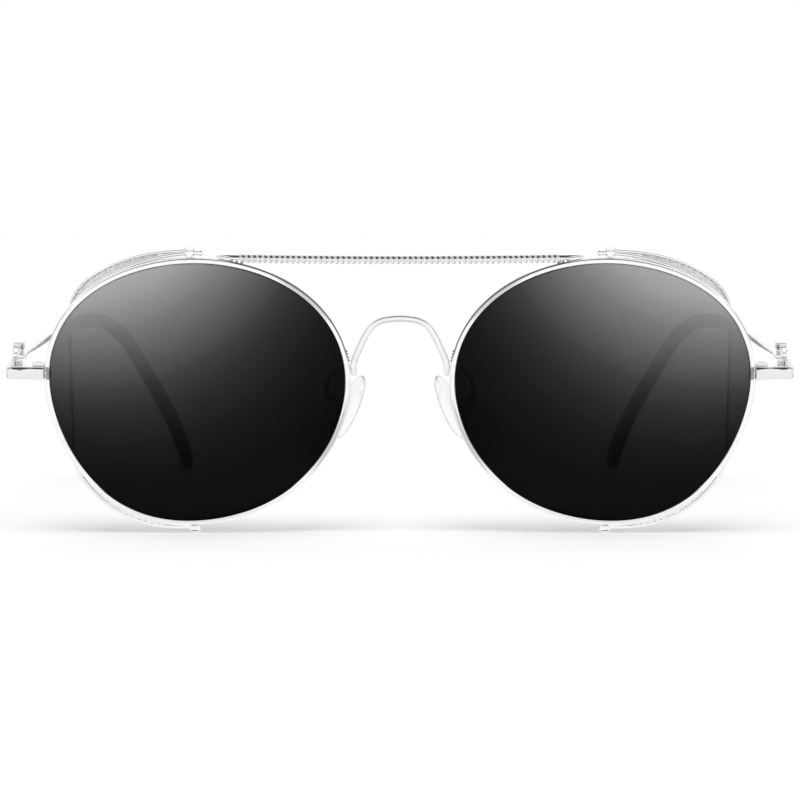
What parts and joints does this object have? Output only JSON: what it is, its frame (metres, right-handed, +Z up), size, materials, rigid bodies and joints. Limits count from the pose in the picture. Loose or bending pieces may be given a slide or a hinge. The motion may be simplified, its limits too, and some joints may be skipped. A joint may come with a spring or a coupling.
{
  "type": "round sunglasses with side shields",
  "caption": "Round wire sunglasses with smoke lenses, coil-wrapped brow bar, swinging mesh side shields and folding temples.",
  "frame": {"origin": "middle of the bottom of the bounding box, on the surface that the open sunglasses stand on", "axes": "+X towards the wearer's left, +Y from the lenses back along the temples, +Z up, with the pair resting on its rims' lower pins and its temple tips"},
  "size_m": [0.1456, 0.146, 0.0537],
  "materials": {
    "plated_metal": "polished silver plating on alloy wire and strip",
    "coil_wire": "polished silver-plated round wire, wound as an open coil",
    "mesh_wire": "fine silver-plated wire mesh",
    "screw_steel": "turned stainless steel, slotted head",
    "smoke_lens": "dark grey tinted lens with a smooth hard coat",
    "black_tip": "polished black acetate sleeve",
    "clear_pad": "soft clear silicone moulded on a clear plastic core"
  },
  "bodies": {
    "front": {"bridge": "plated_metal", "brow_bar": "plated_metal", "brow_coil": "coil_wire", "right_rim": "plated_metal", "left_rim": "plated_metal", "right_lens": "smoke_lens", "left_lens": "smoke_lens", "right_rim_lock": "plated_metal", "left_rim_lock": "plated_metal", "right_rim_screw": "screw_steel", "left_rim_screw": "screw_steel", "right_endpiece": "plated_metal", "left_endpiece": "plated_metal", "right_front_hinge": "plated_metal", "left_front_hinge": "plated_metal", "right_hinge_screw": "screw_steel", "left_hinge_screw": "screw_steel", "right_shield_pins": "plated_metal", "left_shield_pins": "plated_metal", "right_pad_arm": "plated_metal", "left_pad_arm": "plated_metal", "right_pad_box": "plated_metal", "left_pad_box": "plated_metal", "right_pad_screw": "screw_steel", "left_pad_screw": "screw_steel"},
    "right_temple_arm": {"right_temple_hinge": "plated_metal", "right_temple": "plated_metal", "right_temple_tip": "black_tip"},
    "left_temple_arm": {"left_temple_hinge": "plated_metal", "left_temple": "plated_metal", "left_temple_tip": "black_tip"},
    "right_shield": {"right_shield_frame": "plated_metal", "right_shield_mesh": "mesh_wire"},
    "left_shield": {"left_shield_frame": "plated_metal", "left_shield_mesh": "mesh_wire"},
    "right_pad": {"right_pad_core": "clear_pad", "right_nose_pad": "clear_pad"},
    "left_pad": {"left_pad_core": "clear_pad", "left_nose_pad": "clear_pad"}
  },
  "joints": [
    {"name": "left_temple_fold", "type": "hinge", "parent": "front", "child": "left_temple_arm", "pos_m": [0.07147, -0.05861, 0.03218], "axis": [0, -0.1839, 0.983], "range_deg": [0, 80]},
    {"name": "right_temple_fold", "type": "hinge", "parent": "front", "child": "right_temple_arm", "pos_m": [-0.07147, -0.05861, 0.03218], "axis": [0, 0.1839, -0.983], "range_deg": [0, 84]},
    {"name": "left_shield_swing", "type": "hinge", "parent": "front", "child": "left_shield", "pos_m": [0.0384, -0.06694, 0.02665], "axis": [0, 0.1839, -0.983], "range_deg": [-30, 0]},
    {"name": "right_shield_swing", "type": "hinge", "parent": "front", "child": "right_shield", "pos_m": [-0.0384, -0.06694, 0.02665], "axis": [0, -0.1839, 0.983], "range_deg": [-30, 0]},
    {"name": "left_pad_rock", "type": "hinge", "parent": "front", "child": "left_pad", "pos_m": [0.01201, -0.05901, 0.0244], "axis": [0.342, 0.9237, 0.1728], "range_deg": [-8, 8]},
    {"name": "right_pad_rock", "type": "hinge", "parent": "front", "child": "right_pad", "pos_m": [-0.01201, -0.05901, 0.0244], "axis": [0.342, -0.9237, -0.1728], "range_deg": [-8, 8]}
  ]
}
